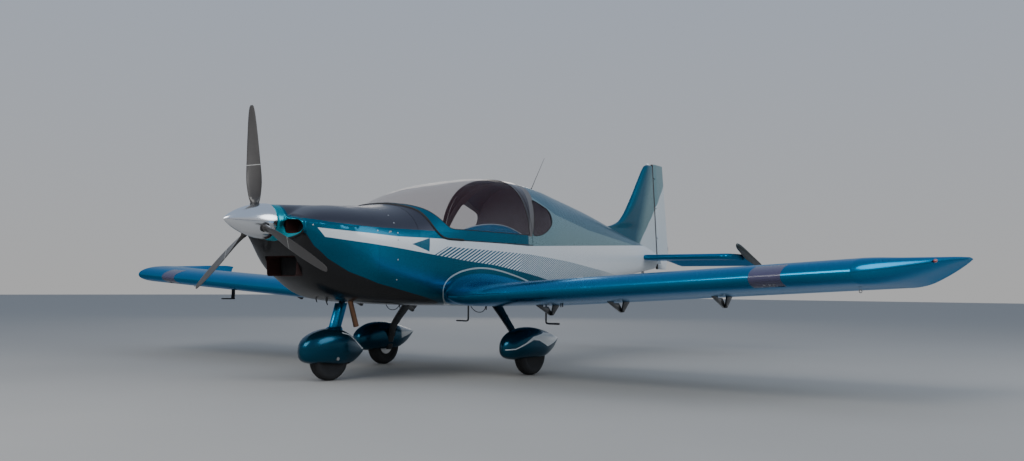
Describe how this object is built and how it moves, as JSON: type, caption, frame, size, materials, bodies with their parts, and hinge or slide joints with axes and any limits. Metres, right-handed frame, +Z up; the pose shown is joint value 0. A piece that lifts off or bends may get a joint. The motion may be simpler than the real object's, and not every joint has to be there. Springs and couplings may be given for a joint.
{
  "type": "light aircraft",
  "caption": "Low-wing two-seat light aircraft with bubble canopy, upturned wing tips, faired fixed nose-wheel gear and tractor propeller.",
  "frame": {"origin": "middle of the aircraft's length and span, on the ground that its wheels stand on", "axes": "+Z up, nose towards -Y, port wing towards +X"},
  "size_m": [8.3008, 6.475, 2.2204],
  "materials": {
    "teal_paint": "gloss",
    "pale_paint": "gloss",
    "black_paint": "satin",
    "teal_composite": "gloss",
    "pale_composite": "gloss",
    "graphite_composite": "satin",
    "blade_composite": "satin",
    "polished_metal": "polished",
    "tinted_glazing": "polished",
    "steel": "satin",
    "exhaust_metal": "satin",
    "alloy": "satin",
    "engine_metal": "satin",
    "tyre": "matte",
    "black_plastic": "matte",
    "lamp_plastic": "gloss",
    "seat_leather": "satin"
  },
  "bodies": {
    "airframe": {"cabin_hull": "teal_paint", "cowl_upper": "graphite_composite", "cowl_lower": "teal_composite", "engine": "engine_metal", "firewall": "steel", "radiator": "alloy", "exhaust": "exhaust_metal", "rear_window_port": "tinted_glazing", "rear_window_starboard": "tinted_glazing", "instrument_panel": "black_plastic", "panel_stand": "black_plastic", "seat_base": "black_plastic", "seat_port": "seat_leather", "seat_starboard": "seat_leather", "stick_port": "black_plastic", "stick_starboard": "black_plastic", "rear_fuselage": "pale_paint", "fin": "teal_composite", "strobe": "lamp_plastic", "stabiliser": "teal_composite", "antenna": "steel", "wing_port": "teal_paint", "wing_starboard": "teal_paint", "wingtip_port": "teal_composite", "wingtip_starboard": "teal_composite", "root_fairing_port": "teal_composite", "root_fairing_starboard": "teal_composite", "pitot": "steel", "main_leg_port": "black_paint", "main_leg_starboard": "black_paint", "main_axle_port": "steel", "main_axle_starboard": "steel", "main_spat_port": "teal_composite", "main_spat_starboard": "teal_composite", "nose_leg_socket": "steel", "step_port": "black_paint", "step_starboard": "black_paint"},
    "propeller": {"spinner": "polished_metal", "propeller_hub": "steel", "blade_1": "blade_composite", "blade_2": "blade_composite", "blade_3": "blade_composite"},
    "canopy": {"canopy_frame": "teal_composite", "canopy_glass": "tinted_glazing"},
    "rudder": {"rudder": "pale_composite"},
    "elevator": {"elevator": "teal_composite"},
    "aileron_port": {"aileron_port": "teal_paint"},
    "aileron_starboard": {"aileron_starboard": "teal_paint"},
    "flap_port": {"flap_port": "teal_paint"},
    "flap_starboard": {"flap_starboard": "teal_paint"},
    "wheel_port": {"tyre_port": "tyre", "rim_port": "alloy"},
    "wheel_starboard": {"tyre_starboard": "tyre", "rim_starboard": "alloy"},
    "nose_gear": {"nose_leg": "teal_paint", "nose_axle": "steel", "nose_spat": "teal_composite"},
    "nose_wheel": {"tyre_nose": "tyre", "rim_nose": "alloy"}
  },
  "joints": [
    {"name": "propeller_spin", "type": "hinge", "parent": "airframe", "child": "propeller", "pos_m": [0, -2.9635, 1.192], "axis": [0, 1, 0], "continuous": true},
    {"name": "canopy_tilt", "type": "hinge", "parent": "airframe", "child": "canopy", "pos_m": [0, -2.0835, 1.13], "axis": [1, 0, 0], "range_deg": [0, 50]},
    {"name": "rudder_swing", "type": "hinge", "parent": "airframe", "child": "rudder", "pos_m": [0, 2.9515, 1.132], "axis": [0, -0.1033, 0.9946], "range_deg": [-25, 25]},
    {"name": "elevator_tilt", "type": "hinge", "parent": "airframe", "child": "elevator", "pos_m": [0, 2.9165, 1.088], "axis": [1, 0, 0], "range_deg": [0, 44]},
    {"name": "aileron_port_tilt", "type": "hinge", "parent": "airframe", "child": "aileron_port", "pos_m": [2.75, -0.50504, 0.72455], "axis": [0.9983, 0, 0.0588], "range_deg": [-20, 20]},
    {"name": "aileron_starboard_tilt", "type": "hinge", "parent": "airframe", "child": "aileron_starboard", "pos_m": [-2.75, -0.50504, 0.72455], "axis": [0.9983, 0, -0.0588], "range_deg": [-20, 20]},
    {"name": "flap_port_drop", "type": "hinge", "parent": "airframe", "child": "flap_port", "pos_m": [0.82, -0.4255, 0.49928], "axis": [-0.9983, 0, -0.0588], "range_deg": [0, 32]},
    {"name": "flap_starboard_drop", "type": "hinge", "parent": "airframe", "child": "flap_starboard", "pos_m": [-0.82, -0.4255, 0.49928], "axis": [-0.9983, 0, 0.0588], "range_deg": [0, 32]},
    {"name": "wheel_port_spin", "type": "hinge", "parent": "airframe", "child": "wheel_port", "pos_m": [0.858, -0.7835, 0.17], "axis": [1, 0, 0], "continuous": true},
    {"name": "wheel_starboard_spin", "type": "hinge", "parent": "airframe", "child": "wheel_starboard", "pos_m": [-0.858, -0.7835, 0.17], "axis": [1, 0, 0], "continuous": true},
    {"name": "nose_steer", "type": "hinge", "parent": "airframe", "child": "nose_gear", "pos_m": [0, -2.1135, 0.596], "axis": [0, 0.319, 0.9478], "range_deg": [-25, 25]},
    {"name": "nose_wheel_spin", "type": "hinge", "parent": "nose_gear", "child": "nose_wheel", "pos_m": [0, -2.2385, 0.17], "axis": [1, 0, 0], "continuous": true}
  ],
  "couplings": [
    {"joint": "aileron_starboard_tilt", "follows": "aileron_port_tilt", "ratio": -1},
    {"joint": "flap_starboard_drop", "follows": "flap_port_drop", "ratio": 1}
  ]
}
